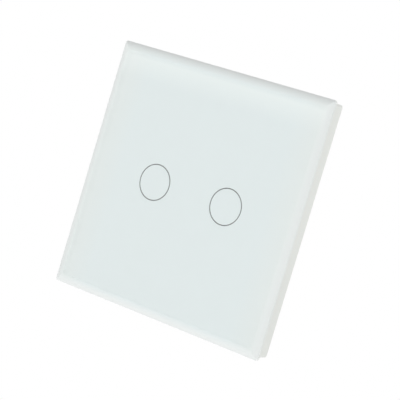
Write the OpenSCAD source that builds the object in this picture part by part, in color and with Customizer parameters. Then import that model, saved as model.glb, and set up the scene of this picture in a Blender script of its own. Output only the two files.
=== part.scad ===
// Touch light switch: a glass front that pulls off a wall tray, with its control module behind.
// The origin is the middle of the wall plane, the glass faces -Y and +Z is up.

/* [Glass panel] */
// Width and height of the square glass
panel_w = 86; // [80:0.5:92]
// Thickness of the glass
glass_t = 2; // [2:0.25:4]
// Corner radius of the glass, seen from the front
corner_r = 1; // [0.8:0.2:4]
// Width of the curved band round the front edge
edge_w = 3; // [1.5:0.25:4]
// Depth that the curved band falls back
edge_drop = 1; // [0.4:0.1:1.2]
// Thickness of the print layer behind the glass
film_t = 0.2; // [0.1:0.05:0.4]
// Distance of the print layer from the edge of the glass
film_inset = 0.2; // [0.1:0.1:1]

/* [Touch marks] */
// Distance between the middles of the two marks
mark_spacing = 29.6; // [26:0.2:32]
// Middle diameter of a ring mark
mark_d = 12.15; // [10:0.05:16]
// Width of a ring's line
mark_line = 0.35; // [0.2:0.05:1]

/* [Panel carrier] */
// Distance from the back of the glass to the back of the rim
rim_d = 5.3; // [4.5:0.1:7]
// Distance of the rim inside the edge of the glass
rim_inset = 0.8; // [0.4:0.1:1.2]
// Side wall of the rim
rim_wall = 3; // [2.6:0.1:3.2]
// Width of the flange behind the glass
flange_w = 8.2; // [7.2:0.2:9.2]
// Thickness of that flange
flange_t = 1.6; // [1.4:0.1:2.2]
// Thickness of the adhesive frame
tape_t = 0.4; // [0.2:0.1:0.8]
// Width of the adhesive frame
tape_w = 6; // [3:0.5:6.5]
// Distance of the adhesive frame from the edge of the glass
tape_inset = 1.8; // [1.6:0.1:2.2]
// Wall of the skirt that plugs into the tray
skirt_t = 1.4; // [1:0.1:1.8]
// Clearance between the skirt and the tray's wall
skirt_gap = 0.6; // [0.5:0.05:0.8]
// Clearance between the skirt and the tray's floor
skirt_floor_gap = 0.7; // [0.5:0.05:0.9]

/* [Retaining clips] */
// Width of a spring clip
clip_w = 6; // [4:0.5:9]
// Thickness of the spring strip
clip_t = 0.3; // [0.2:0.05:0.4]
// Distance of a clip from the middle of its side
clip_offset = 23; // [16:0.5:26]
// Distance that a clip's nose reaches into its window
clip_reach = 0.5; // [0.3:0.05:0.8]
// Clearance round a clip's nose in its window
clip_gap = 0.35; // [0.2:0.05:0.5]
// Clearance between a clip's outer leg and the skirt
clip_seat = 0.1; // [0.08:0.01:0.15]

/* [Base tray] */
// Width and height of the tray
tray_w = 79; // [78:0.5:81]
// Depth of the tray, from the wall to the panel's rim
tray_d = 4.4; // [4:0.1:7]
// Side wall of the tray
tray_wall = 1.8; // [1.4:0.1:2.2]
// Floor of the tray
tray_floor = 1.6; // [1.4:0.1:1.8]
// Corner radius of the tray
tray_r = 4; // [3:0.25:5]
// Width of the notch for prying the panel off
pry_w = 10; // [6:0.5:16]
// Depth of that notch
pry_d = 1.2; // [0.8:0.1:1.6]

/* [Fixing slots] */
// Distance between the two fixing screws
fix_spacing = 60.3; // [60:0.1:61]
// Width of a fixing slot
fix_slot_w = 4; // [3.8:0.1:4.6]
// Length of a fixing slot
fix_slot_l = 6.5; // [5:0.25:7]
// Width of the raised pad round a slot
fix_pad_w = 1.6; // [1:0.1:1.8]
// Height of the raised pad
fix_pad_t = 0.4; // [0.2:0.1:0.6]

/* [Rear housing] */
// Width of the housing
box_w = 49; // [48:0.25:50]
// Height of the housing
box_h = 56; // [55:0.5:60]
// Depth behind the wall plane
box_d = 25; // [22.5:0.5:34]
// Side wall of the housing
box_wall = 1.6; // [1.2:0.1:1.8]
// Back wall of the housing
box_back = 1.8; // [1.4:0.1:2]
// Corner radius of the housing
box_r = 3; // [2:0.25:4]
// Draft of the side walls over the full depth
box_draft = 0.4; // [0.2:0.05:0.5]
// Chamfer round the back
box_chamfer = 1; // [0.6:0.1:1.4]
// Depth of the recess in the tray that seats the housing
seat_d = 0.3; // [0.2:0.05:0.5]
// Clearance round the housing in that recess
seat_gap = 0.1; // [0.05:0.05:0.2]
// Number of vent slots in the top wall
vent_count = 5; // [3:1:6]
// Width of a vent slot
vent_w = 1.6; // [1:0.1:2]
// Length of a vent slot
vent_l = 9; // [5:0.5:11]

/* [Housing screws] */
// Diameter of a screw's shank
screw_d = 2.2; // [2:0.1:2.4]
// Diameter of a screw's head
screw_head_d = 4.4; // [4:0.1:4.8]
// Height of a screw's head
screw_head_h = 1.6; // [1.2:0.1:2]
// Length of the posts behind the tray
post_l = 4; // [3.5:0.25:5]
// Radius of the posts
post_r = 3.2; // [3:0.1:3.4]
// Thickness of the shelf under a screw's head
shelf_t = 2; // [1.5:0.1:3]

/* [Boards] */
// Clearance between a board and the housing's wall
board_gap = 0.4; // [0.3:0.05:0.6]
// Distance of the touch board behind the wall plane
touch_board_y = 0.6; // [0.4:0.1:1]
// Thickness of the touch board
touch_board_t = 1.2; // [1:0.1:1.6]
// Clearance between the tallest part on the power board and the housing
part_gap = 0.4; // [0.3:0.05:0.8]
// Thickness of the power board
power_board_t = 1.6; // [1.2:0.1:1.6]
// Width of the ribs that carry the boards
rib_w = 3.6; // [3:0.2:4.4]
// Distance that those ribs stand in from the wall
rib_in = 1.4; // [1.2:0.1:1.8]

/* [Module cover] */
// Thickness of the cover
cover_t = 1.2; // [1:0.1:1.5]
// Distance that the cover laps over the tray's opening
cover_lap = 1.4; // [1:0.1:1.8]
// Diameter of the hole for a touch spring
cover_hole_d = 8; // [7.6:0.1:8.4]
// Width of the raised collar round that hole
collar_w = 1; // [0.6:0.1:1.4]
// Height of the collar
collar_t = 0.8; // [0.4:0.1:1]

/* [Touch springs] */
// Outer diameter of a touch spring
spring_d = 6.8; // [6:0.1:7]
// Diameter of the spring wire
wire_d = 0.5; // [0.4:0.05:0.6]
// Number of curls
spring_turns = 6; // [4:1:8]
// Clearance between a spring and the print layer
spring_gap = 0.1; // [0.05:0.05:0.2]

/* [Indicator lamps] */
// Diameter of a lamp
lamp_d = 3; // [2.5:0.1:3.2]
// Height of a lamp above its board
lamp_h = 4.6; // [3.5:0.1:5]

/* [Pin header] */
// Number of pins
pin_count = 6; // [4:1:8]
// Distance between pins
pin_pitch = 2.54; // [2:0.02:2.54]
// Side of a square pin
pin_w = 0.64; // [0.5:0.02:0.7]
// Distance of the header from the top wall
header_in = 7.4; // [6.5:0.25:9]

/* [Relays] */
// Width of a relay
relay_w = 10.2; // [9.5:0.1:10.4]
// Length of a relay
relay_l = 18; // [17:0.25:19]
// Height of a relay
relay_h = 12.2; // [11.5:0.1:13]
// Distance of a relay from the middle of the board
relay_x = 12.2; // [12:0.1:13]
// Distance of the relays' middle from the top wall
relay_in = 22.4; // [21.9:0.1:23.4]
// Wall of a relay's cover
relay_wall = 0.6; // [0.4:0.05:0.7]
// Gap between a relay's contacts at rest
contact_gap = 0.5; // [0.4:0.05:0.6]

/* [Terminals] */
// Distance between terminals
way_pitch = 7.5; // [7.2:0.1:7.8]
// Depth of the terminal block
block_l = 11.6; // [11.4:0.1:12]
// Height of the terminal block
block_h = 12; // [11.8:0.1:13]
// Width of a wire opening
port_w = 4.6; // [4.4:0.1:5]
// Height of a wire opening
port_h = 4.4; // [4.3:0.05:4.6]
// Travel of a rising cage
cage_travel = 2.2; // [1.8:0.1:2.3]
// Width of a cage
cage_w = 5.6; // [5.4:0.1:5.8]
// Depth of a cage
cage_l = 5.4; // [5:0.1:5.6]
// Diameter of a clamp screw's shank
clamp_d = 3; // [2.6:0.1:3.2]
// Diameter of a clamp screw's head
clamp_head_d = 4.8; // [4.6:0.1:5]
// Running clearance of a clamp screw in its cage
clamp_gap = 0.05; // [0.03:0.01:0.1]

/* [Hidden] */
$fn = 64;
// Overrun of a cut past the face it opens
over = 1;

// Depths, front to back
rim_y = -tray_d;
glass_back_y = rim_y - rim_d;
front_y = glass_back_y - glass_t;
film_back_y = glass_back_y + film_t;
tape_back_y = film_back_y + tape_t;
flange_y = film_back_y + flange_t;
floor_y = -tray_floor;
skirt_y = floor_y - skirt_floor_gap;
cover_y = floor_y - cover_t;
touch_back_y = touch_board_y + touch_board_t;
box_back_y = box_d - box_back;
power_back_y = box_back_y - part_gap - max(relay_h, block_h);
power_board_y = power_back_y - power_board_t;

// Widths of the front panel's rings
film_w = panel_w - 2 * film_inset;
tape_out_w = panel_w - 2 * tape_inset;
tape_in_w = tape_out_w - 2 * tape_w;
rim_w = panel_w - 2 * rim_inset;
rim_in_w = rim_w - 2 * flange_w;
tray_in_w = tray_w - 2 * tray_wall;
skirt_w = tray_in_w - 2 * skirt_gap;
skirt_in_w = skirt_w - 2 * skirt_t;
inner_r = tray_r - tray_wall;
skirt_r = inner_r - skirt_gap;

// Inside of the housing, and the posts in its corners
in_w = box_w - 2 * box_wall;
in_h = box_h - 2 * box_wall;
in_r = box_r - box_wall;
post_gap = 0.2;
post_x = in_w / 2 - post_r - post_gap;
post_z = in_h / 2 - post_r - post_gap;
well_gap = 0.3;
well_r = screw_head_d / 2 + well_gap;
pilot_gap = 0.05;
head_y = post_l + shelf_t;
land_w = 1;

// Ribs that carry the boards, up and down the side walls
touch_rib_z = in_h / 4;
power_rib_z = in_h / 12;
rib_gap = 0.3;

// Cover ribs that hold the touch board down
press_rib_t = 1.2;
press_gap = 0.15;
press_clear = 3;
press_l = in_h - 4 * (post_r + post_gap) - 2 * press_clear;

// Spring route
spring_r = (spring_d - wire_d) / 2;
leg_l = touch_board_t;
curl_rings = 8;
wire_sides = 6;

// Pin header
header_z = in_h / 2 - header_in;
header_w = pin_count * pin_pitch;
header_t = 2.5;
header_h = 1.6;
pin_gap = 0.15;
pin_short = 1;
socket_gap = 0.1;
socket_floor_t = 0.6;
socket_y = touch_back_y + header_h + socket_gap;

// Small parts behind the touch board
chip_w = 10;
chip_l = 4;
chip_h = 1.6;
chip_feet = 8;
chip_pitch = 1.27;
chip_span = 6;
chip_foot_w = 0.4;
chip_foot_t = 0.3;
resistor_count = 5;
resistor_pitch = 3;
resistor_w = 1.2;
resistor_l = 2;
resistor_h = 0.6;
resistor_drop = 9;

// Inside of a relay, from the board up
relay_z = in_h / 2 - relay_in;
relay_base_t = 1.4;
relay_fit = 0.05;
relay_room = 0.2;
yoke_t = 1;
core_r = 1.5;
coil_flange = 0.4;
coil_r = (relay_w - 2 * relay_wall) / 2 - coil_flange - 2 * relay_room;
hinge_z = relay_z - relay_l / 2 + relay_wall + relay_room + yoke_t / 2;
coil_z = hinge_z + yoke_t / 2 + coil_r + coil_flange + relay_room;
hinge_r = 0.5;
armature_t = 0.8;
armature_w = relay_w - 2 * relay_wall - 8 * relay_room;
armature_y = power_back_y + relay_h - relay_wall - armature_t - 2 * relay_room;
hinge_y = armature_y + armature_t / 2;
pole_gap = 0.3;
contact_r = 1;
contact_t = 0.5;
contact_in = 2.4;
contact_z = relay_z + relay_l / 2 - relay_wall - contact_in;
blade_t = 0.3;
blade_w = 3.6;
relay_pin_d = 0.9;
relay_pin_l = 3;
relay_pin_in = 1.3;
relay_pin_pitch = 5.7;
relay_pin_x = relay_w / 2 - relay_wall - relay_pin_in;
relay_pin_z = relay_l / 2 - relay_wall - relay_pin_in;
relay_pins = [for (x = [-1, 1], i = [0, 1]) [x * relay_pin_x, relay_pin_z - i * relay_pin_pitch]];

// Other parts on the power board
lead_d = 0.7;
lead_out = 1.6;
lead_gap = 0.1;
film_cap = [6, 13, 10.5];
film_cap_r = 0.8;
film_cap_leads = 10;
drum_x = -7.5;
drum_z = header_z;
drum_r = 4;
drum_h = 11;
drum_leads = 3.5;
disc_x = 3;
disc_drop = 0.4;
disc_z = header_z - disc_drop;
disc_r = 4.5;
disc_t = 3.6;
disc_leads = 5;
fuse_x = 12.2;
fuse_in = 8;
fuse_z = in_h / 2 - fuse_in;
fuse_r = 3.8;
fuse_h = 7.5;
fuse_leads = 5;

// Inside of the terminal block, from the board up
way_count = 3;
block_z = -in_h / 2 + board_gap;
block_w = way_count * way_pitch;
block_wall = 1.4;
cage_gap = 0.2;
cage_wall = 0.7;
cage_base_t = 0.8;
cage_nut_t = 2;
cage_window_h = 3.8;
cage_h = cage_base_t + cage_window_h + cage_nut_t;
cage_lift = 0.6;
cage_y = power_back_y + cage_lift;
cage_z = block_z + block_wall + cage_gap + cage_l / 2;
tongue_t = 0.9;
tongue_y = cage_y + cage_base_t + cage_window_h - tongue_t - cage_gap;
tongue_w = cage_w - 2 * cage_wall - 2 * cage_gap;
tongue_leg_z = cage_z + cage_l / 2 + cage_gap;
tongue_leg_w = 1.6;
pocket_y = cage_y + cage_h + cage_travel + cage_gap;
clamp_play = 0.1;
clamp_tip_y = tongue_y + tongue_t + clamp_play;
clamp_head_y = pocket_y + clamp_play;
clamp_lip_t = 0.5;
driver_gap = 0.2;
clamp_head_t = power_back_y + block_h - clamp_lip_t - cage_gap - clamp_head_y;
port_y = cage_y + cage_base_t + cage_window_h / 2;

// Shared shapes

// Plan outline in X and Z, made solid from y0 back to y1
module slab(y0, y1) {
  rotate([90, 0, 0]) translate([0, 0, -y1]) linear_extrude(y1 - y0) children();
}

// Side outline in Z and Y, made solid over a width in X
module bar(w) {
  translate([w / 2, 0, 0]) rotate([0, -90, 0]) linear_extrude(w) children();
}

// Rectangle with rounded corners
module rounded(w, h, r) {
  square([w, h - 2 * r], center = true);
  square([w - 2 * r, h], center = true);
  for (x = [-1, 1], z = [-1, 1])
    translate([x * (w / 2 - r), z * (h / 2 - r)]) circle(r);
}

// Square ring with rounded corners
module ring_frame(out_w, out_r, in_w, in_r) {
  difference() {
    rounded(out_w, out_w, out_r);
    rounded(in_w, in_w, in_r);
  }
}

// Slot with round ends, along X
module slot(l, w) {
  square([l - w, w], center = true);
  for (x = [-1, 1])
    translate([x * (l - w) / 2, 0]) circle(d = w);
}

// Strip of one thickness along a bent line
module strip(points, t) {
  for (i = [0:len(points) - 2]) {
    run = points[i + 1] - points[i];
    translate(points[i]) rotate(atan2(run.y, run.x))
      translate([-t / 2, -t / 2]) square([norm(run) + t, t]);
  }
}

// One copy at each end of the touch marks' line
module at_marks() {
  for (x = [-1, 1])
    translate([x * mark_spacing / 2, 0]) children();
}

// One copy at each corner post
module at_posts() {
  for (x = [-1, 1], z = [-1, 1])
    translate([x * post_x, z * post_z]) children();
}

// A pair of leads, centred, apart along Z
module lead_pair(spacing, d) {
  for (z = [-1, 1])
    translate([0, z * spacing / 2]) circle(d = d);
}

// Front panel

module glass_profile() {
  edge_r = (edge_w ^ 2 + edge_drop ^ 2) / (2 * edge_drop);
  difference() {
    translate([-panel_w / 2, front_y]) square([panel_w, glass_t]);
    for (side = [0, 1])
      mirror([side, 0]) translate([panel_w / 2 - edge_w, front_y]) difference() {
        translate([0, -over]) square([edge_w + over, edge_drop + over]);
        translate([0, edge_r]) circle(edge_r, $fn = 128);
      }
  }
}

module glass_panel() {
  color([0.9, 0.94, 0.94])
    intersection() {
      translate([0, 0, -panel_w / 2]) linear_extrude(panel_w) glass_profile();
      rotate([0, 90, 0]) translate([0, 0, -panel_w / 2]) linear_extrude(panel_w) glass_profile();
      slab(front_y - over, glass_back_y + over) rounded(panel_w, panel_w, corner_r);
    }
}

module mark_ring() {
  difference() {
    circle(d = mark_d + mark_line);
    circle(d = mark_d - mark_line);
  }
}

module print_film() {
  color("white")
    slab(glass_back_y, film_back_y) difference() {
      rounded(film_w, film_w, corner_r);
      at_marks() mark_ring();
    }
}

module touch_rings() {
  color("silver")
    slab(glass_back_y, film_back_y) at_marks() mark_ring();
}

module adhesive_frame() {
  color([0.85, 0.85, 0.82])
    slab(film_back_y, tape_back_y) ring_frame(tape_out_w, corner_r, tape_in_w, corner_r);
}

module panel_carrier() {
  recess_gap = 0.1;
  color([0.93, 0.94, 0.93])
    difference() {
      union() {
        slab(film_back_y, flange_y) ring_frame(rim_w, corner_r, rim_in_w, corner_r);
        slab(flange_y - over / 2, rim_y) ring_frame(rim_w, corner_r, rim_w - 2 * rim_wall, corner_r);
        slab(flange_y - over / 2, skirt_y) ring_frame(skirt_w, skirt_r, skirt_in_w, skirt_r);
      }
      slab(film_back_y - over, tape_back_y)
        ring_frame(tape_out_w + 2 * recess_gap, corner_r, tape_in_w - 2 * recess_gap, corner_r);
    }
}

// Side view of a clip astride the skirt: inner leg, back, then outer leg with its nose
module clip_profile() {
  inner = skirt_in_w / 2 - clip_t / 2;
  outer = skirt_w / 2 + clip_seat + clip_t / 2;
  back = skirt_y + clip_t / 2;
  top = rim_y + clip_t;
  nose_y = (rim_y + skirt_y) / 2;
  nose = tray_in_w / 2 + clip_reach - clip_t / 2;
  nose_half = (skirt_y - rim_y) / 4;
  strip([
    [inner, top], [inner, back], [outer, back], [outer, nose_y + nose_half], [nose, nose_y],
    [outer, nose_y - nose_half]
  ], clip_t);
}

module retaining_clips() {
  color("silver")
    for (side = [0, 1], x = [-1, 1])
      mirror([0, 0, side]) translate([x * clip_offset, 0, 0])
        bar(clip_w) clip_profile();
}

// Base tray

// Opening for the module, less the corner lands that carry the posts
module module_opening() {
  difference() {
    rounded(in_w, in_h, in_r);
    at_posts() circle(post_r + land_w);
    for (x = [-1, 1], z = [-1, 1])
      translate([x * in_w / 2, z * in_h / 2]) square(2 * (in_w / 2 - post_x), center = true);
  }
}

module base_tray() {
  window_y = (rim_y + skirt_y) / 2;
  window_h = (skirt_y - rim_y) / 2 + 2 * clip_gap;
  color("white")
    difference() {
      union() {
        difference() {
          slab(rim_y, 0) rounded(tray_w, tray_w, tray_r);
          slab(rim_y - over, floor_y) rounded(tray_in_w, tray_in_w, inner_r);
          slab(-seat_d, over) rounded(box_w + 2 * seat_gap, box_h + 2 * seat_gap, box_r + seat_gap);
        }
        slab(floor_y - fix_pad_t, floor_y) for (x = [-1, 1])
          translate([x * fix_spacing / 2, 0]) slot(fix_slot_l + 2 * fix_pad_w, fix_slot_w + 2 * fix_pad_w);
        slab(-seat_d - over / 2, post_l) at_posts() circle(post_r);
      }
      slab(floor_y - over, over) module_opening();
      slab(floor_y - fix_pad_t - over, over) for (x = [-1, 1])
        translate([x * fix_spacing / 2, 0]) slot(fix_slot_l, fix_slot_w);
      slab(floor_y - over, post_l + over) at_posts() circle(screw_d / 2 + pilot_gap);
      for (x = [-1, 1], z = [-1, 1])
        translate([x * clip_offset, window_y, z * tray_w / 2])
          cube([clip_w + 2 * clip_gap, window_h, 4 * tray_wall], center = true);
      translate([0, rim_y, -tray_w / 2]) cube([pry_w, 2 * pry_d, 4 * tray_wall], center = true);
    }
}

module module_cover() {
  lap_w = in_w + 2 * cover_lap;
  lap_h = in_h + 2 * cover_lap;
  color([0.9, 0.9, 0.9])
    difference() {
      union() {
        slab(cover_y, floor_y) rounded(lap_w, lap_h, box_r);
        slab(cover_y - collar_t, cover_y) at_marks() circle(d = cover_hole_d + 2 * collar_w);
        for (x = [-1, 1])
          slab(floor_y, touch_board_y)
            translate([x * (in_w / 2 - press_gap - press_rib_t / 2), 0])
              square([press_rib_t, press_l], center = true);
      }
      slab(cover_y - collar_t - over, floor_y + over) at_marks() circle(d = cover_hole_d);
    }
}

// Rear housing

// Plan of a corner post with its web to the walls
module corner_post(r) {
  circle(r);
  square([in_w / 2 - post_x + box_wall / 2, in_h / 2 - post_z + box_wall / 2]);
}

// One copy in each corner of the housing, turned to its walls
module in_corners() {
  for (x = [0, 1], z = [0, 1])
    mirror([x, 0]) mirror([0, z]) translate([post_x, post_z]) children();
}

module housing_shell() {
  land = 0.5;
  back_w = box_w - 2 * box_draft;
  back_h = box_h - 2 * box_draft;
  hull() {
    slab(-seat_d, 0) rounded(box_w, box_h, box_r, $fn = 32);
    slab(box_d - box_chamfer - land, box_d - box_chamfer) rounded(back_w, back_h, box_r, $fn = 32);
    slab(box_d - land, box_d)
      rounded(back_w - 2 * box_chamfer, back_h - 2 * box_chamfer, box_r, $fn = 32);
  }
}

// Plan of one carrying rib against each side wall, above and below the middle
module wall_ribs(z_offset, grow) {
  for (x = [-1, 1], z = [-1, 1])
    translate([x * in_w / 2, z * z_offset])
      square([2 * (rib_in + grow), rib_w + 2 * grow], center = true);
}

// One copy at each terminal
module at_ways() {
  for (i = [0:way_count - 1])
    translate([(i - (way_count - 1) / 2) * way_pitch, 0]) children();
}

module rear_housing() {
  color([0.2, 0.21, 0.22])
    difference() {
      union() {
        difference() {
          housing_shell();
          slab(-over, box_back_y) rounded(in_w, in_h, in_r);
        }
        slab(post_l, box_back_y + over / 2) in_corners() corner_post(post_r);
        slab(touch_back_y, box_back_y + over / 2) intersection() {
          wall_ribs(touch_rib_z, 0);
          square([in_w + box_wall, in_h], center = true);
        }
        slab(power_back_y, box_back_y + over / 2) intersection() {
          wall_ribs(power_rib_z, 0);
          square([in_w + box_wall, in_h], center = true);
        }
      }
      slab(post_l - over, box_d + over) at_posts() circle(screw_d / 2 + 2 * pilot_gap);
      slab(head_y, box_d + over) at_posts() circle(well_r);
      translate([0, 0, cage_z]) slab(box_back_y - over, box_d + over)
        at_ways() circle(d = clamp_head_d + 2 * driver_gap);
      translate([0, 0, -box_h / 2]) slab(port_y - port_h / 2, port_y + port_h / 2)
        at_ways() square([port_w, 4 * box_wall], center = true);
      translate([0, 0, box_h / 2]) slab(box_d / 2 - vent_l / 2, box_d / 2 + vent_l / 2)
        for (i = [0:vent_count - 1])
          translate([(i - (vent_count - 1) / 2) * 3 * vent_w, 0])
            square([vent_w, 4 * box_wall], center = true);
    }
}

module housing_screws() {
  tip_y = -tray_floor / 2;
  recess_w = 0.8;
  recess_l = 0.6 * screw_head_d;
  recess_d = 0.7;
  color("silver")
    difference() {
      union() {
        slab(tip_y, head_y + over / 2) at_posts() circle(d = screw_d);
        slab(head_y, head_y + screw_head_h) at_posts() circle(d = screw_head_d);
      }
      slab(head_y + screw_head_h - recess_d, head_y + screw_head_h + over) at_posts() {
        square([recess_w, recess_l], center = true);
        square([recess_l, recess_w], center = true);
      }
    }
}

// Boards

// Outline shared by both boards, clear of the walls and posts
module board_outline() {
  difference() {
    rounded(in_w - 2 * board_gap, in_h - 2 * board_gap, in_r);
    at_posts() circle(post_r + board_gap);
    in_corners() square(2 * post_r + board_gap);
  }
}

module header_points() {
  for (i = [0:pin_count - 1])
    translate([(i - (pin_count - 1) / 2) * pin_pitch, header_z]) children();
}

module touch_board() {
  color([0.1, 0.35, 0.2])
    slab(touch_board_y, touch_back_y) difference() {
      board_outline();
      header_points() square(pin_w + 2 * pin_gap, center = true);
      at_marks() translate([spring_r, 0]) circle(d = wire_d + 2 * pin_gap);
    }
}

// Points of a touch spring: a leg through the board, the curls, and a short end up to the print layer
function spring_point(turn, y) = [spring_r * cos(360 * turn), y, spring_r * sin(360 * turn)];
spring_y0 = touch_board_y - wire_d;
spring_y1 = film_back_y + spring_gap + wire_d;
curl_steps = spring_turns * curl_rings;
spring_curls = [
  for (i = [0:curl_steps])
    spring_point(i / curl_rings, spring_y0 + (spring_y1 - spring_y0) * i / curl_steps)
];
spring_route = concat(
  [spring_point(0, touch_board_y + leg_l)],
  spring_curls,
  [spring_point(spring_turns, film_back_y + spring_gap)]
);
spring_self_gap = min([
  for (i = [0:curl_steps], j = [0:curl_steps])
    if (j - i >= curl_rings / 2) norm(spring_curls[i] - spring_curls[j])
]) - wire_d;
echo(spring_self_gap = spring_self_gap);

// One ring of the wire at a point of the route
function wire_ring(i) =
  let (
    last = len(spring_route) - 1,
    p = spring_route[i],
    ahead = spring_route[min(i + 1, last)] - p,
    behind = p - spring_route[max(i - 1, 0)],
    along = (norm(ahead) > 0 ? ahead / norm(ahead) : [0, 0, 0])
      + (norm(behind) > 0 ? behind / norm(behind) : [0, 0, 0]),
    out = [p.x, 0, p.z] / norm([p.x, 0, p.z]),
    side = cross(along / norm(along), out)
  )
  [for (k = [0:wire_sides - 1])
    p + wire_d / 2 * (cos(360 * k / wire_sides) * out + sin(360 * k / wire_sides) * side)];

module touch_spring() {
  rings = len(spring_route);
  points = [for (i = [0:rings - 1]) each wire_ring(i)];
  sides = [
    for (i = [0:rings - 2], k = [0:wire_sides - 1])
      let (
        a = i * wire_sides + k,
        b = i * wire_sides + (k + 1) % wire_sides
      )
      each [[a, b, b + wire_sides], [a, b + wire_sides, a + wire_sides]]
  ];
  first = [for (k = [1:wire_sides - 2]) [0, k + 1, k]];
  base = (rings - 1) * wire_sides;
  last = [for (k = [1:wire_sides - 2]) [base, base + k, base + k + 1]];
  polyhedron(points, concat(sides, first, last));
}

module left_touch_spring() {
  color("gold") translate([-mark_spacing / 2, 0, 0]) touch_spring();
}

module right_touch_spring() {
  color("gold") translate([mark_spacing / 2, 0, 0]) touch_spring();
}

module indicator_lamps() {
  flange_w = 0.4;
  flange_d = lamp_d + 2 * flange_w;
  flange_t = 1;
  color([0.85, 0.9, 1])
    for (x = [-1, 1])
      translate([x * mark_spacing / 2, touch_board_y, 0]) rotate([90, 0, 0]) {
        cylinder(d = flange_d, h = flange_t);
        cylinder(d = lamp_d, h = lamp_h - lamp_d / 2);
        translate([0, 0, lamp_h - lamp_d / 2]) sphere(d = lamp_d);
      }
}

module touch_chip() {
  color([0.15, 0.15, 0.16]) {
    slab(touch_back_y + chip_foot_t / 2, touch_back_y + chip_h) square([chip_w, chip_l], center = true);
    slab(touch_back_y, touch_back_y + chip_foot_t)
      for (i = [0:chip_feet - 1])
        translate([(i - (chip_feet - 1) / 2) * chip_pitch, 0])
          square([chip_foot_w, chip_span], center = true);
  }
}

module chip_resistors() {
  color([0.2, 0.2, 0.22])
    slab(touch_back_y, touch_back_y + resistor_h)
      for (i = [0:resistor_count - 1])
        translate([(i - (resistor_count - 1) / 2) * resistor_pitch, -resistor_drop])
          square([resistor_w, resistor_l], center = true);
}

module header_strip() {
  color([0.1, 0.1, 0.1])
    slab(touch_back_y, touch_back_y + header_h) difference() {
      translate([0, header_z]) square([header_w, header_t], center = true);
      header_points() square(pin_w, center = true);
    }
}

module header_pins() {
  color("gold")
    slab(touch_board_y, power_board_y - pin_short) header_points() square(pin_w, center = true);
}

module header_socket() {
  color([0.1, 0.1, 0.1])
    difference() {
      slab(socket_y, power_board_y) translate([0, header_z]) square([header_w, header_t], center = true);
      slab(socket_y - over, power_board_y - socket_floor_t)
        header_points() square(pin_w + 2 * pin_gap, center = true);
    }
}

// Plan of every hole that a lead or pin takes in the power board
module power_board_holes() {
  for (side = [-1, 1], p = relay_pins)
    translate([side * relay_x + p.x, relay_z + p.y]) circle(d = relay_pin_d + 2 * lead_gap);
  translate([0, relay_z]) lead_pair(film_cap_leads, lead_d + 2 * lead_gap);
  translate([drum_x, drum_z]) lead_pair(drum_leads, lead_d + 2 * lead_gap);
  translate([disc_x, disc_z]) lead_pair(disc_leads, lead_d + 2 * lead_gap);
  translate([fuse_x, fuse_z]) lead_pair(fuse_leads, lead_d + 2 * lead_gap);
  translate([0, tongue_leg_z + tongue_t / 2]) at_ways()
    square([tongue_leg_w + 2 * lead_gap, tongue_t + 2 * lead_gap], center = true);
}

module power_board() {
  color([0.12, 0.3, 0.2])
    slab(power_board_y, power_back_y) difference() {
      board_outline();
      wall_ribs(touch_rib_z, rib_gap);
      power_board_holes();
    }
}

// Relays, drawn about the middle of their own footprint

module relay_base() {
  base_w = relay_w - 2 * relay_wall - 2 * relay_fit;
  base_l = relay_l - 2 * relay_wall - 2 * relay_fit;
  color([0.12, 0.12, 0.13])
    slab(power_back_y, power_back_y + relay_base_t) difference() {
      translate([0, relay_z]) square([base_w, base_l], center = true);
      for (p = relay_pins)
        translate([p.x, relay_z + p.y]) circle(d = relay_pin_d);
    }
}

module relay_cover() {
  top_y = power_back_y + relay_h;
  color([0.1, 0.2, 0.45])
    difference() {
      slab(power_back_y, top_y) translate([0, relay_z]) rounded(relay_w, relay_l, relay_wall);
      slab(power_back_y - over, top_y - relay_wall) translate([0, relay_z])
        square([relay_w - 2 * relay_wall, relay_l - 2 * relay_wall], center = true);
    }
}

module relay_pin_set() {
  color("silver")
    slab(power_board_y - relay_pin_l / 2, power_back_y + relay_base_t)
      for (p = relay_pins)
        translate([p.x, relay_z + p.y]) circle(d = relay_pin_d);
}

// Height of the pole face that the armature is drawn to
pole_y = armature_y - pole_gap;
coil_y0 = power_back_y + relay_base_t + yoke_t;

module relay_coil() {
  flange_t = 0.6;
  flange_r = coil_r + coil_flange;
  coil_y1 = pole_y - pole_gap;
  color([0.7, 0.35, 0.15])
    translate([0, 0, coil_z]) difference() {
      union() {
        slab(coil_y0, coil_y1) circle(coil_r);
        slab(coil_y0, coil_y0 + flange_t) circle(flange_r);
        slab(coil_y1 - flange_t, coil_y1) circle(flange_r);
      }
      slab(coil_y0 - over, coil_y1 + over) circle(core_r + relay_fit);
    }
}

module relay_yoke() {
  leg_z = hinge_z - yoke_t / 2;
  color("silver") {
    slab(power_back_y + relay_base_t, coil_y0)
      translate([-armature_w / 2, leg_z]) square([armature_w, coil_z + core_r - leg_z]);
    slab(power_back_y + relay_base_t, hinge_y - hinge_r - relay_fit)
      translate([-armature_w / 2, leg_z]) square([armature_w, yoke_t]);
    translate([0, 0, coil_z]) slab(coil_y0 - yoke_t / 2, pole_y) circle(core_r);
  }
}

module relay_contact() {
  tip_y = armature_y - contact_t - contact_gap;
  color([0.8, 0.6, 0.3]) {
    slab(power_back_y + relay_base_t, tip_y - contact_t)
      translate([-blade_w / 2, contact_z - contact_t / 2]) square([blade_w, contact_t]);
    translate([0, 0, contact_z]) slab(tip_y - 1.5 * contact_t, tip_y) circle(contact_r);
  }
}

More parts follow.
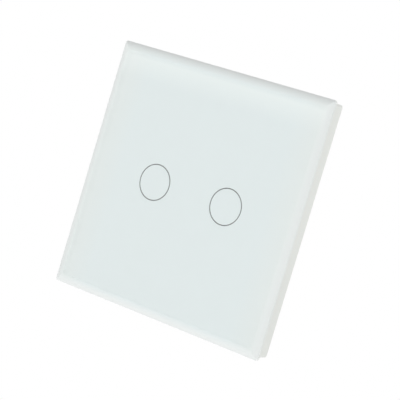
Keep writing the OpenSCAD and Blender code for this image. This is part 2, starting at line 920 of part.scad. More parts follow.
module relay_armature() {
  blade_lap = 1;
  plate_end = coil_z + core_r + blade_lap;
  color([0.75, 0.75, 0.78]) {
    slab(armature_y, armature_y + armature_t)
      translate([-armature_w / 2, hinge_z]) square([armature_w, plate_end - hinge_z]);
    translate([0, hinge_y, hinge_z]) rotate([0, 90, 0])
      cylinder(r = hinge_r, h = armature_w, center = true);
    slab(armature_y, armature_y + blade_t)
      translate([-blade_w / 2, plate_end - blade_lap])
        square([blade_w, contact_z + contact_r + blade_lap - plate_end]);
    translate([0, 0, contact_z]) slab(armature_y - contact_t, armature_y + blade_t) circle(contact_r);
  }
}

module on_left_relay() {
  translate([-relay_x, 0, 0]) children();
}

module on_right_relay() {
  translate([relay_x, 0, 0]) children();
}

module left_relay_base() { on_left_relay() relay_base(); }
module left_relay_cover() { on_left_relay() relay_cover(); }
module left_relay_pins() { on_left_relay() relay_pin_set(); }
module left_relay_coil() { on_left_relay() relay_coil(); }
module left_relay_yoke() { on_left_relay() relay_yoke(); }
module left_relay_contact() { on_left_relay() relay_contact(); }
module left_relay_armature() { on_left_relay() relay_armature(); }
module right_relay_base() { on_right_relay() relay_base(); }
module right_relay_cover() { on_right_relay() relay_cover(); }
module right_relay_pins() { on_right_relay() relay_pin_set(); }
module right_relay_coil() { on_right_relay() relay_coil(); }
module right_relay_yoke() { on_right_relay() relay_yoke(); }
module right_relay_contact() { on_right_relay() relay_contact(); }
module right_relay_armature() { on_right_relay() relay_armature(); }

// Other parts on the power board

// Leads from a part's foot through the board
module board_leads(spacing) {
  slab(power_board_y - lead_out, power_back_y + over / 2) lead_pair(spacing, lead_d);
}

module film_capacitor() {
  color([0.85, 0.7, 0.2]) translate([0, 0, relay_z]) {
    slab(power_back_y, power_back_y + film_cap.z) rounded(film_cap.x, film_cap.y, film_cap_r);
    board_leads(film_cap_leads);
  }
}

module electrolytic_capacitor() {
  neck_h = 1.4;
  neck_in = 0.4;
  color([0.15, 0.18, 0.3]) translate([drum_x, 0, drum_z]) {
    slab(power_back_y, power_back_y + neck_h) circle(drum_r);
    slab(power_back_y, power_back_y + 2 * neck_h) circle(drum_r - neck_in);
    slab(power_back_y + 1.5 * neck_h, power_back_y + drum_h) circle(drum_r);
    board_leads(drum_leads);
  }
}

module varistor() {
  color([0.1, 0.35, 0.6]) translate([disc_x, 0, disc_z]) {
    translate([0, power_back_y + disc_r, 0]) rotate([0, 90, 0])
      cylinder(r = disc_r, h = disc_t, center = true);
    slab(power_board_y - lead_out, power_back_y + disc_r) lead_pair(disc_leads, lead_d);
  }
}

module fuse() {
  color([0.2, 0.2, 0.2]) translate([fuse_x, 0, fuse_z]) {
    slab(power_back_y, power_back_y + fuse_h) circle(fuse_r);
    board_leads(fuse_leads);
  }
}

// Terminals

module terminal_block() {
  pocket_w = cage_w + 2 * cage_gap;
  pocket_l = cage_l + 3 * cage_gap + tongue_t;
  block_top = power_back_y + block_h;
  color([0.15, 0.4, 0.3])
    difference() {
      slab(power_back_y, block_top)
        translate([-block_w / 2, block_z]) square([block_w, block_l]);
      slab(power_back_y - over, pocket_y) at_ways()
        translate([-pocket_w / 2, cage_z - cage_l / 2 - cage_gap]) square([pocket_w, pocket_l]);
      translate([0, 0, cage_z]) slab(pocket_y - over, block_top - clamp_lip_t)
        at_ways() circle(d = clamp_head_d + 2 * cage_gap);
      translate([0, 0, cage_z]) slab(pocket_y, block_top + over)
        at_ways() circle(d = clamp_head_d - 2 * clamp_lip_t);
      translate([0, 0, block_z]) slab(port_y - port_h / 2, port_y + port_h / 2)
        at_ways() square([port_w, 4 * block_wall], center = true);
    }
}

module terminal_tongues() {
  color([0.8, 0.65, 0.35]) {
    slab(tongue_y, tongue_y + tongue_t) at_ways()
      translate([-tongue_w / 2, cage_z - cage_l / 2]) square([tongue_w, cage_l + cage_gap + tongue_t]);
    slab(power_back_y, tongue_y + tongue_t) at_ways()
      translate([-tongue_w / 2, tongue_leg_z]) square([tongue_w, tongue_t]);
    slab(power_board_y - lead_out, power_back_y + over / 2) at_ways()
      translate([-tongue_leg_w / 2, tongue_leg_z]) square([tongue_leg_w, tongue_t]);
  }
}

module cage() {
  color("silver")
    difference() {
      slab(cage_y, cage_y + cage_h)
        translate([-cage_w / 2, cage_z - cage_l / 2]) square([cage_w, cage_l]);
      slab(cage_y + cage_base_t, cage_y + cage_base_t + cage_window_h)
        translate([-cage_w / 2 + cage_wall, cage_z - cage_l]) square([cage_w - 2 * cage_wall, 2 * cage_l]);
      translate([0, 0, cage_z]) slab(cage_y + cage_h / 2, cage_y + cage_h + over)
        circle(d = clamp_d + 2 * clamp_gap);
    }
}

module clamp_screw() {
  slot_w = 0.8;
  slot_d = 0.8;
  color([0.85, 0.75, 0.5])
    translate([0, 0, cage_z]) difference() {
      union() {
        slab(clamp_tip_y, clamp_head_y + over / 2) circle(d = clamp_d);
        slab(clamp_head_y, clamp_head_y + clamp_head_t) circle(d = clamp_head_d);
      }
      slab(clamp_head_y + clamp_head_t - slot_d, clamp_head_y + clamp_head_t + over)
        square([clamp_head_d + over, slot_w], center = true);
    }
}

// One copy at the left, middle or right terminal
module on_way(i) {
  translate([i * (way_count - 1) / 2 * way_pitch, 0, 0]) children();
}

module left_terminal_cage() { on_way(-1) cage(); }
module middle_terminal_cage() { on_way(0) cage(); }
module right_terminal_cage() { on_way(1) cage(); }
module left_terminal_screw() { on_way(-1) clamp_screw(); }
module middle_terminal_screw() { on_way(0) clamp_screw(); }
module right_terminal_screw() { on_way(1) clamp_screw(); }

glass_panel();
print_film();
touch_rings();
adhesive_frame();
panel_carrier();
retaining_clips();
base_tray();
module_cover();
rear_housing();
housing_screws();
touch_board();
left_touch_spring();
right_touch_spring();
indicator_lamps();
touch_chip();
chip_resistors();
header_strip();
header_pins();
header_socket();
power_board();
left_relay_base();
left_relay_cover();
left_relay_pins();
left_relay_coil();
left_relay_yoke();
left_relay_contact();
left_relay_armature();
right_relay_base();
right_relay_cover();
right_relay_pins();
right_relay_coil();
right_relay_yoke();
right_relay_contact();
right_relay_armature();
film_capacitor();
electrolytic_capacitor();
varistor();
fuse();
terminal_block();
terminal_tongues();
left_terminal_cage();
middle_terminal_cage();
right_terminal_cage();
left_terminal_screw();
middle_terminal_screw();
right_terminal_screw();
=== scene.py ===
# Looks of a touch light switch: camera, soft light, materials, the glass and the two touch springs.
import math

import bmesh
import bpy
from mathutils import Matrix, Vector


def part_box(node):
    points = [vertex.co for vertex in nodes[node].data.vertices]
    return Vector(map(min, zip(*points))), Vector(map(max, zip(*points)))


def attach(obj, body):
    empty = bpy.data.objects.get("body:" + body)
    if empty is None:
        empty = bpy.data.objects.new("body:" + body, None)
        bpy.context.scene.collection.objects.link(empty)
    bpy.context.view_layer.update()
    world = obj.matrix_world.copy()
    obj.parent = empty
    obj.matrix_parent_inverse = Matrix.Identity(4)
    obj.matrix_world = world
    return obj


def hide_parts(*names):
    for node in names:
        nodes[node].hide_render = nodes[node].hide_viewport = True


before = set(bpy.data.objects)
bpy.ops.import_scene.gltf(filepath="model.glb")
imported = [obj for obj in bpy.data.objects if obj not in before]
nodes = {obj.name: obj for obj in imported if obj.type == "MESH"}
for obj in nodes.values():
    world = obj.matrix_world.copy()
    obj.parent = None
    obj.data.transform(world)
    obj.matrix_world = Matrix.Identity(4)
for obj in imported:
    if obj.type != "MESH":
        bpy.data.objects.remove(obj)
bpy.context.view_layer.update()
scene = bpy.context.scene
MM = 0.001

# Camera at the photograph's angle, rolled as the plate is in the picture
FOCAL_PX = 1607.11
IMAGE_PX = 400.0
SENSOR_MM = 36.0
cam_right = Vector((0.78958, 0.54187, 0.28801))
cam_up = Vector((-0.27503, -0.10708, 0.95545))
cam_back = Vector((0.54857, -0.83361, 0.06448))
cam_place = Vector((0.293637, -0.449782, 0.033373))
cam_data = bpy.data.cameras.new("camera")
cam_data.sensor_width = SENSOR_MM
cam_data.lens = FOCAL_PX * SENSOR_MM / IMAGE_PX
cam_data.clip_start = 0.01
camera = bpy.data.objects.new("camera", cam_data)
scene.collection.objects.link(camera)
turn = Matrix((cam_right, cam_up, cam_back)).transposed().to_4x4()
camera.matrix_world = Matrix.Translation(cam_place) @ turn
scene.camera = camera
scene.view_settings.view_transform = "Standard"


# Node helpers
EVEN = (1.0, 1.0, 1.0)
ORIGIN = Vector((0.0, 0.0, 0.0))
FINE_DETAIL = 2.0


def new_material(name):
    mat = bpy.data.materials.new(name)
    mat.use_nodes = True
    tree = mat.node_tree
    return mat, tree, tree.nodes["Principled BSDF"]


def add_node(tree, kind, **values):
    node = tree.nodes.new(kind)
    for key, value in values.items():
        setattr(node, key, value)
    return node


def link(tree, source, target):
    tree.links.new(source, target)


# Colour that goes from one constant to another, with stops that suit a noise
def ramp(tree, source, low, high, start=0.3, stop=0.7):
    node = add_node(tree, "ShaderNodeValToRGB")
    first, last = node.color_ramp.elements
    first.position = start
    first.color = (*low, 1.0)
    last.position = stop
    last.color = (*high, 1.0)
    link(tree, source, node.inputs["Fac"])
    return node.outputs["Color"]


# Colour that goes from one constant to another as a mask goes from 0 to 1
def mask_ramp(tree, mask, low, high):
    return ramp(tree, mask, low, high, start=0.0, stop=1.0)


# Value taken from one range to another and held at its ends
def span(tree, source, low=0.0, high=1.0, start=0.0, stop=1.0):
    node = add_node(tree, "ShaderNodeMapRange")
    node.inputs["From Min"].default_value = start
    node.inputs["From Max"].default_value = stop
    node.inputs["To Min"].default_value = low
    node.inputs["To Max"].default_value = high
    link(tree, source, node.inputs["Value"])
    return node.outputs["Result"]


# Mask that goes from 0 to 1, or from 1 to 0, between two values
def rising(tree, source, start, stop):
    return span(tree, source, low=0.0, high=1.0, start=start, stop=stop)


def falling(tree, source, start, stop):
    return span(tree, source, low=1.0, high=0.0, start=start, stop=stop)


def math_node(tree, operation, first, second=None):
    node = add_node(tree, "ShaderNodeMath", operation=operation)
    link(tree, first, node.inputs[0])
    if second is not None:
        link(tree, second, node.inputs[1])
    return node.outputs[0]


def object_place(tree, stretch=EVEN, rotation=ORIGIN, shift=ORIGIN):
    coords = add_node(tree, "ShaderNodeTexCoord")
    mapping = add_node(tree, "ShaderNodeMapping")
    mapping.inputs["Scale"].default_value = stretch
    mapping.inputs["Rotation"].default_value = rotation
    mapping.inputs["Location"].default_value = shift
    link(tree, coords.outputs["Object"], mapping.inputs["Vector"])
    return mapping.outputs["Vector"]


def noise(tree, scale, detail=3.0, stretch=EVEN):
    node = add_node(tree, "ShaderNodeTexNoise")
    node.inputs["Scale"].default_value = scale
    node.inputs["Detail"].default_value = detail
    link(tree, object_place(tree, stretch), node.inputs["Vector"])
    return node.outputs["Fac"]


def bump(tree, bsdf, height, distance, strength=0.3):
    node = add_node(tree, "ShaderNodeBump")
    node.inputs["Strength"].default_value = strength
    node.inputs["Distance"].default_value = distance
    link(tree, height, node.inputs["Height"])
    link(tree, node.outputs["Normal"], bsdf.inputs["Normal"])


# Colour that goes from one to another with a factor
def blend(tree, factor, first, second):
    node = add_node(tree, "ShaderNodeMix", data_type="RGBA")
    link(tree, factor, node.inputs["Factor"])
    link(tree, first, node.inputs["A"])
    link(tree, second, node.inputs["B"])
    return node.outputs["Result"]


def shade(color, amount):
    return tuple(max(0.0, min(1.0, c * amount)) for c in color)


# Place of a point from a middle, by axis: X to the right, Y to the back and Z up
def axis_places(tree, middle=ORIGIN):
    split = add_node(tree, "ShaderNodeSeparateXYZ")
    link(tree, object_place(tree, shift=-middle), split.inputs[0])
    return split.outputs


# Distance of a point to the left or right of the middle, and above or below it
def side_reaches(tree):
    places = axis_places(tree)
    return math_node(tree, "ABSOLUTE", places["X"]), math_node(tree, "ABSOLUTE", places["Z"])


# Distance of a point from the middle of the plate, as a square sees it: the larger of its two sides
def square_reach(tree):
    return math_node(tree, "MAXIMUM", *side_reaches(tree))


# True for rays that only light something, which pass through the glass unbent
def lighting_ray(tree):
    path = add_node(tree, "ShaderNodeLightPath")
    return math_node(tree, "MAXIMUM", path.outputs["Is Shadow Ray"], path.outputs["Is Diffuse Ray"])


# True for rays that show the background: straight from the camera, mirrored or through glass
def seeing_ray(tree):
    path = add_node(tree, "ShaderNodeLightPath")
    mirrored = math_node(tree, "MAXIMUM", path.outputs["Is Camera Ray"], path.outputs["Is Glossy Ray"])
    return math_node(tree, "MAXIMUM", mirrored, path.outputs["Is Transmission Ray"])


def let_light_through(tree, bsdf):
    clear = add_node(tree, "ShaderNodeBsdfTransparent")
    mix = add_node(tree, "ShaderNodeMixShader")
    link(tree, lighting_ray(tree), mix.inputs[0])
    link(tree, bsdf.outputs[0], mix.inputs[1])
    link(tree, clear.outputs[0], mix.inputs[2])
    link(tree, mix.outputs[0], tree.nodes["Material Output"].inputs["Surface"])


# Moulded plastic: a fine spark texture and a slow drift of tone
DRIFT_SCALE = 60.0
PLASTIC_SWING = 0.06


def plastic(name, color, rough, grain, depth, tone):
    mat, tree, bsdf = new_material(name)
    drift = noise(tree, DRIFT_SCALE)
    link(tree, ramp(tree, drift, shade(color, 1 - tone), shade(color, 1 + tone)), bsdf.inputs["Base Color"])
    fine = noise(tree, grain, FINE_DETAIL)
    link(tree, span(tree, fine, rough - PLASTIC_SWING, rough + PLASTIC_SWING), bsdf.inputs["Roughness"])
    bump(tree, bsdf, fine, depth)
    return mat


# Plated or rolled metal, with fine drawn lines along one axis and a faint cloud of tarnish
LINES_SCALE = 900.0
LINES_DEPTH = 0.02 * MM
LINES_STRENGTH = 0.25
TARNISH_SCALE = 250.0
TARNISH_DETAIL = 4.0
POLISHED_BY = 0.1
TARNISHED_BY = 0.14


def metal(name, color, rough, stretch=EVEN, tone=0.12):
    mat, tree, bsdf = new_material(name)
    bsdf.inputs["Metallic"].default_value = 1.0
    lines = noise(tree, LINES_SCALE, FINE_DETAIL, stretch)
    link(tree, ramp(tree, lines, shade(color, 1 - tone), shade(color, 1 + tone)), bsdf.inputs["Base Color"])
    cloud = noise(tree, TARNISH_SCALE, TARNISH_DETAIL)
    link(tree, span(tree, cloud, rough - POLISHED_BY, rough + TARNISHED_BY), bsdf.inputs["Roughness"])
    bump(tree, bsdf, lines, LINES_DEPTH, LINES_STRENGTH)
    return mat


# Tin with a faint mottle
TIN_SCALE = 900.0
TIN_SHADE = 0.85


def tin_color(tree, color):
    return ramp(tree, noise(tree, TIN_SCALE), shade(color, TIN_SHADE), color)


# Circuit board: solder mask with paler tracks under it, which turn square corners, and tinned pads
BOARD_BORDER = 1.8 * MM
BORDER_FADE = 0.1 * MM
TRACK_CELLS = 130.0
TRACK_ROWS = 5.0
TRACK_START = 0.55
TRACK_FULL = 0.62
PAD_CELLS = 260.0
PAD_FULL = 0.13
PAD_END = 0.16
WEAVE_SCALE = 1500.0
COPPER_DEPTH = 0.03 * MM


def board(name, node, mask, track, tin):
    mat, tree, bsdf = new_material(name)
    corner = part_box(node)[1]
    rooms = []
    for reach, half in zip(side_reaches(tree), (corner.x, corner.z)):
        limit = half - BOARD_BORDER
        rooms.append(falling(tree, reach, limit - BORDER_FADE, limit))
    inside = math_node(tree, "MULTIPLY", *rooms)
    flat = object_place(tree, rotation=(math.pi / 2, 0.0, 0.0))
    cells = add_node(tree, "ShaderNodeTexVoronoi", voronoi_dimensions="2D", distance="CHEBYCHEV")
    cells.inputs["Scale"].default_value = TRACK_CELLS
    link(tree, flat, cells.inputs["Vector"])
    rows = math_node(tree, "FRACT", span(tree, cells.outputs["Distance"], high=TRACK_ROWS))
    tracks = math_node(tree, "MULTIPLY", rising(tree, rows, TRACK_START, TRACK_FULL), inside)
    dots = add_node(tree, "ShaderNodeTexVoronoi", voronoi_dimensions="2D")
    dots.inputs["Scale"].default_value = PAD_CELLS
    link(tree, flat, dots.inputs["Vector"])
    pads = math_node(tree, "MULTIPLY", falling(tree, dots.outputs["Distance"], PAD_FULL, PAD_END), inside)
    copper = mask_ramp(tree, tracks, mask, track)
    link(tree, blend(tree, pads, copper, tin_color(tree, tin)), bsdf.inputs["Base Color"])
    weave = noise(tree, WEAVE_SCALE, FINE_DETAIL)
    link(tree, span(tree, weave, low=0.28, high=0.42), bsdf.inputs["Roughness"])
    bump(tree, bsdf, math_node(tree, "MAXIMUM", tracks, pads), COPPER_DEPTH)
    return mat


# Winding: fine turns of wire that lie along the depth
TURN_SCALE = 1600.0
TURN_WAVER = 0.6
TURN_SHADE = 0.7
TURN_DEPTH = 0.05 * MM


def winding(name, color):
    mat, tree, bsdf = new_material(name)
    turns = add_node(tree, "ShaderNodeTexWave", bands_direction="Y")
    turns.inputs["Scale"].default_value = TURN_SCALE
    turns.inputs["Distortion"].default_value = TURN_WAVER
    link(tree, object_place(tree), turns.inputs["Vector"])
    link(tree, ramp(tree, turns.outputs["Fac"], shade(color, TURN_SHADE), color), bsdf.inputs["Base Color"])
    link(tree, span(tree, turns.outputs["Fac"], low=0.3, high=0.5), bsdf.inputs["Roughness"])
    bump(tree, bsdf, turns.outputs["Fac"], TURN_DEPTH)
    return mat


# Tinned metal over part of a piece, where the mask is 1
TIN = (0.66, 0.66, 0.63)
MASK_STEP = 0.02 * MM


def tinned(mat, mask):
    tree = mat.node_tree
    bsdf = tree.nodes["Principled BSDF"]
    base = bsdf.inputs["Base Color"].links[0].from_socket
    link(tree, blend(tree, mask, base, tin_color(tree, TIN)), bsdf.inputs["Base Color"])
    link(tree, mask, bsdf.inputs["Metallic"])


# Leads of a part on the power board: what lies in front of the board's back
def leads(tree):
    board_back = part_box("power_board")[1].y
    depth = axis_places(tree)["Y"]
    return falling(tree, depth, board_back - 2 * MASK_STEP, board_back - MASK_STEP)


# Feet or ends of small parts: what lies further up or down than a reach
def ends(tree, node, reach):
    low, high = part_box(node)
    up = axis_places(tree, (low + high) / 2)["Z"]
    return rising(tree, math_node(tree, "ABSOLUTE", up), reach, reach + MASK_STEP)


# Electrolytic capacitor: a sleeve with a pale stripe, its bare end inside the sleeve's lip, and its leads
SLEEVE_LIP = 0.6 * MM
STRIPE_REACH = 0.88
STRIPE_FADE = 0.02
STRIPE_SCALE = 700.0
STRIPE_LOW = (0.5, 0.52, 0.55)
STRIPE_HIGH = (0.56, 0.58, 0.61)


def capacitor_sleeve(name, node, color):
    mat = plastic(name, color, rough=0.25, grain=700.0, depth=0.01 * MM, tone=0.1)
    tree = mat.node_tree
    bsdf = tree.nodes["Principled BSDF"]
    low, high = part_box(node)
    middle = (low + high) / 2
    radius = high.x - middle.x
    away = add_node(tree, "ShaderNodeVectorMath", operation="LENGTH")
    axis = Vector((middle.x, 0.0, middle.z))
    link(tree, object_place(tree, stretch=(1.0, 0.0, 1.0), shift=-axis), away.inputs[0])
    inner = radius - SLEEVE_LIP
    core = falling(tree, away.outputs["Value"], inner - MASK_STEP, inner)
    depth = axis_places(tree)["Y"]
    top = rising(tree, depth, high.y - 2 * MASK_STEP, high.y - MASK_STEP)
    bare = math_node(tree, "MULTIPLY", core, top)
    side = axis_places(tree, middle)["X"]
    stripe_edge = -STRIPE_REACH * radius
    striped = falling(tree, side, stripe_edge - STRIPE_FADE * radius, stripe_edge)
    stripe_color = ramp(tree, noise(tree, STRIPE_SCALE), STRIPE_LOW, STRIPE_HIGH)
    sleeve_color = bsdf.inputs["Base Color"].links[0].from_socket
    link(tree, blend(tree, striped, sleeve_color, stripe_color), bsdf.inputs["Base Color"])
    tinned(mat, math_node(tree, "MAXIMUM", bare, leads(tree)))
    return mat


# Tone of the print: less blue at the left and right, over the white carrier, and painted light that makes a
# band near the top lighter
FACE = (0.72, 0.782, 0.782)
BORDER = (0.734, 0.779, 0.766)
PAINTED_LIGHT_TOP = (0.786, 0.842, 0.832)
PAINTED_LIGHT_TOP_BORDER = (0.792, 0.836, 0.822)
BORDER_START = 30.0 * MM
BORDER_FULL = 39.5 * MM
PAINTED_LIGHT_START = 31.5 * MM
PAINTED_LIGHT_FULL = 38.6 * MM
PAINTED_LIGHT_END = 40.2 * MM
PAINTED_LIGHT_REST = 0.2


def print_tone_and_painted_light(tree, lift=1.0):
    up = axis_places(tree)["Z"]
    border = rising(tree, side_reaches(tree)[0], BORDER_START, BORDER_FULL)
    # Painted light: a band of the print near the top edge is lighter, and it fades towards the edge itself
    painted_light_rise = rising(tree, up, PAINTED_LIGHT_START, PAINTED_LIGHT_FULL)
    painted_light_fall = span(tree, up, low=1.0, high=PAINTED_LIGHT_REST, start=PAINTED_LIGHT_FULL, stop=PAINTED_LIGHT_END)
    plain = mask_ramp(tree, border, shade(FACE, lift), shade(BORDER, lift))
    painted_light = mask_ramp(tree, border, shade(PAINTED_LIGHT_TOP, lift), shade(PAINTED_LIGHT_TOP_BORDER, lift))
    return blend(tree, math_node(tree, "MULTIPLY", painted_light_rise, painted_light_fall), plain, painted_light)


# White print behind the glass, with painted light near the top
mat_film_and_painted_light, tree, bsdf = new_material("print_white")
link(tree, print_tone_and_painted_light(tree), bsdf.inputs["Base Color"])
film_grain = noise(tree, 3000.0, FINE_DETAIL)
link(tree, span(tree, film_grain, low=0.5, high=0.65), bsdf.inputs["Roughness"])

# Flat front of the glass: clear
GLASS_IOR = 1.5
mat_glass, tree, bsdf = new_material("glass")
bsdf.inputs["Base Color"].default_value = (0.99, 1.0, 0.998, 1.0)
bsdf.inputs["IOR"].default_value = GLASS_IOR
bsdf.inputs["Transmission Weight"].default_value = 1.0
polish = noise(tree, 40.0)
link(tree, span(tree, polish, low=0.0, high=0.012), bsdf.inputs["Roughness"])
let_light_through(tree, bsdf)

# Curved band of the glass: finely ground, with painted light that makes it lighter below, and in the print's
# tone, painted light near the top included, where it meets the front
EDGE = (0.745, 0.775, 0.766)
EDGE_PAINTED_LIGHT_LOW = (0.752, 0.777, 0.77)
SEAM_LIFT = 1.03
SEAM_START = 40.0 * MM
SEAM_END = 42.2 * MM
PAINTED_LOW_LIGHT_START = -38.0 * MM
PAINTED_LOW_LIGHT_FULL = -41.0 * MM
mat_edge_and_painted_light, tree, bsdf = new_material("ground_edge_and_painted_light")
# Painted light: the band is lighter towards the bottom, as if lit from below
edge_painted_light_low = falling(tree, axis_places(tree)["Z"], PAINTED_LOW_LIGHT_FULL, PAINTED_LOW_LIGHT_START)
edge_color_and_painted_light = mask_ramp(tree, edge_painted_light_low, EDGE, EDGE_PAINTED_LIGHT_LOW)
edge_share = rising(tree, square_reach(tree), SEAM_START, SEAM_END)
link(tree, blend(tree, edge_share, print_tone_and_painted_light(tree, SEAM_LIFT), edge_color_and_painted_light), bsdf.inputs["Base Color"])
edge_grain = noise(tree, 2600.0, FINE_DETAIL)
link(tree, span(tree, edge_grain, low=0.34, high=0.46), bsdf.inputs["Roughness"])
bsdf.inputs["Specular IOR Level"].default_value = 0.25
bump(tree, bsdf, edge_grain, distance=0.004 * MM)
let_light_through(tree, bsdf)

# Sides of the glass: ground along the plate's edge
mat_side, tree, bsdf = new_material("ground_side")
side_grain = noise(tree, 1800.0, FINE_DETAIL, stretch=(1.0, 3.0, 1.0))
side_color = ramp(tree, side_grain, low=(0.82, 0.85, 0.825), high=(0.86, 0.89, 0.865))
link(tree, side_color, bsdf.inputs["Base Color"])
link(tree, span(tree, side_grain, low=0.3, high=0.5), bsdf.inputs["Roughness"])
bump(tree, bsdf, side_grain, distance=0.006 * MM)
let_light_through(tree, bsdf)

# Indicator lamp: clear cast resin
mat_lamp, tree, bsdf = new_material("lamp_clear")
cast = noise(tree, 300.0)
link(tree, ramp(tree, cast, low=(0.78, 0.84, 0.9), high=(0.9, 0.94, 0.97)), bsdf.inputs["Base Color"])
link(tree, span(tree, cast, low=0.05, high=0.16), bsdf.inputs["Roughness"])
bsdf.inputs["Transmission Weight"].default_value = 0.55
bsdf.inputs["IOR"].default_value = GLASS_IOR

# Plastics and metals of the panel, the shells and the terminals
mat_ring = plastic("mark_grey", (0.13, 0.145, 0.14), rough=0.6, grain=4000.0, depth=0.002 * MM, tone=0.05)
mat_tape = plastic("tape", (0.68, 0.68, 0.64), rough=0.85, grain=1400.0, depth=0.08 * MM, tone=0.05)
mat_white = plastic("white_plastic", (0.851, 0.871, 0.834),
                    rough=0.34, grain=2500.0, depth=0.01 * MM, tone=0.012)
mat_dark = plastic("dark_plastic", (0.035, 0.037, 0.04), rough=0.52, grain=1800.0, depth=0.04 * MM, tone=0.12)
mat_terminal = plastic("terminal_green", (0.03, 0.19, 0.11),
                       rough=0.45, grain=1500.0, depth=0.02 * MM, tone=0.06)
mat_steel = metal("spring_steel", (0.62, 0.62, 0.63), rough=0.28, stretch=(1.0, 6.0, 6.0))
mat_zinc = metal("zinc_steel", (0.64, 0.66, 0.69), rough=0.34, tone=0.08)
mat_gilt = metal("gilt_wire", (0.85, 0.62, 0.26), rough=0.22, tone=0.06)
mat_brass = metal("brass", (0.78, 0.58, 0.24), rough=0.3, stretch=(6.0, 6.0, 1.0))

# Boards and what stands on them
BLACK = (0.022, 0.022, 0.024)
CHIP_HALF = 2.02 * MM
RESISTOR_HALF = 0.6 * MM
mat_board = board("board_green", "power_board",
                  mask=(0.02, 0.12, 0.05), track=(0.06, 0.23, 0.09), tin=(0.62, 0.62, 0.58))
mat_chip = plastic("chip_black", BLACK, rough=0.55, grain=2200.0, depth=0.02 * MM, tone=0.15)
mat_feet = plastic("chip_with_feet", BLACK, rough=0.55, grain=2200.0, depth=0.02 * MM, tone=0.15)
tinned(mat_feet, ends(mat_feet.node_tree, "touch_chip", CHIP_HALF))
mat_resistor = plastic("resistor_black", (0.018, 0.018, 0.02),
                       rough=0.4, grain=2600.0, depth=0.01 * MM, tone=0.12)
tinned(mat_resistor, ends(mat_resistor.node_tree, "chip_resistors", RESISTOR_HALF))
mat_yellow = plastic("capacitor_yellow", (0.72, 0.44, 0.05),
                     rough=0.32, grain=900.0, depth=0.01 * MM, tone=0.05)
mat_blue = plastic("varistor_blue", (0.02, 0.11, 0.32), rough=0.3, grain=500.0, depth=0.05 * MM, tone=0.08)
mat_fuse = plastic("fuse_black", BLACK, rough=0.45, grain=1600.0, depth=0.02 * MM, tone=0.15)
for mat in (mat_yellow, mat_blue, mat_fuse):
    tinned(mat, leads(mat.node_tree))
mat_sleeve = capacitor_sleeve("capacitor_sleeve", "electrolytic_capacitor", (0.02, 0.03, 0.09))
mat_relay = plastic("relay_blue", (0.015, 0.05, 0.19), rough=0.36, grain=1500.0, depth=0.02 * MM, tone=0.06)
mat_coil = winding("coil_copper", (0.5, 0.2, 0.07))

# Look of each node, by the end of its name
looks = {
    "glass_panel": mat_glass,
    "print_film": mat_film_and_painted_light,
    "touch_rings": mat_ring,
    "adhesive_frame": mat_tape,
    "panel_carrier": mat_white,
    "retaining_clips": mat_steel,
    "base_tray": mat_white,
    "module_cover": mat_white,
    "rear_housing": mat_dark,
    "housing_screws": mat_zinc,
    "touch_board": mat_board,
    "touch_spring": mat_gilt,
    "indicator_lamps": mat_lamp,
    "touch_chip": mat_feet,
    "chip_resistors": mat_resistor,
    "header_strip": mat_chip,
    "header_pins": mat_gilt,
    "header_socket": mat_chip,
    "power_board": mat_board,
    "relay_base": mat_chip,
    "relay_cover": mat_relay,
    "relay_pins": mat_zinc,
    "relay_coil": mat_coil,
    "relay_yoke": mat_zinc,
    "relay_contact": mat_brass,
    "relay_armature": mat_zinc,
    "film_capacitor": mat_yellow,
    "electrolytic_capacitor": mat_sleeve,
    "varistor": mat_blue,
    "fuse": mat_fuse,
    "terminal_block": mat_terminal,
    "terminal_tongues": mat_brass,
    "terminal_cage": mat_zinc,
    "terminal_screw": mat_zinc,
}
for name, obj in nodes.items():
    look = next(mat for ending, mat in looks.items() if name.endswith(ending))
    obj.data.materials.clear()
    obj.data.materials.append(look)


# Skin over a row of rings with the same number of points, closed at both ends
def loft(name, rings):
    mesh = bpy.data.meshes.new(name)
    work = bmesh.new()
    rows = [[work.verts.new(p) for p in ring] for ring in rings]
    for a, b in zip(rows, rows[1:]):
        for i in range(len(a)):
            j = (i + 1) % len(a)
            work.faces.new((a[i], a[j], b[j], b[i]))
    work.faces.new(list(reversed(rows[0])))
    work.faces.new(rows[-1])
    bmesh.ops.recalc_face_normals(work, faces=work.faces)
    work.to_mesh(mesh)
    work.free()
    obj = bpy.data.objects.new(name, mesh)
    scene.collection.objects.link(obj)
    return obj


# Glass panel with its curved edge band
glass_low, glass_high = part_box("glass_panel")
half_w = glass_high.x
front_y = glass_low.y
back_y = glass_high.y
CORNER_R = 1.0 * MM
EDGE_W = 3.0 * MM
EDGE_DROP = 1.0 * MM
BACK_GAP = 0.02 * MM
ARRIS = 0.06 * MM
LEAST_R = 0.1 * MM
CORNER_STEPS = 10
BAND_STEPS = 16
BAND_POWER = 1.3
SHARP_DEGREES = 25


def outline_points(inset, y):
    r = max(CORNER_R - inset, LEAST_R)
    reach = half_w - inset - r
    points = []
    for corner in range(4):
        start = corner * math.pi / 2
        cx = reach * (1 if corner in (0, 3) else -1)
        cz = reach * (1 if corner in (0, 1) else -1)
        for i in range(CORNER_STEPS + 1):
            a = start + math.pi / 2 * i / CORNER_STEPS
            points.append(Vector((cx + r * math.cos(a), y, cz + r * math.sin(a))))
    return points


def band_drop(inset):
    r = (EDGE_W ** 2 + EDGE_DROP ** 2) / (2 * EDGE_DROP)
    return r - math.sqrt(r * r - max(EDGE_W - inset, 0.0) ** 2)


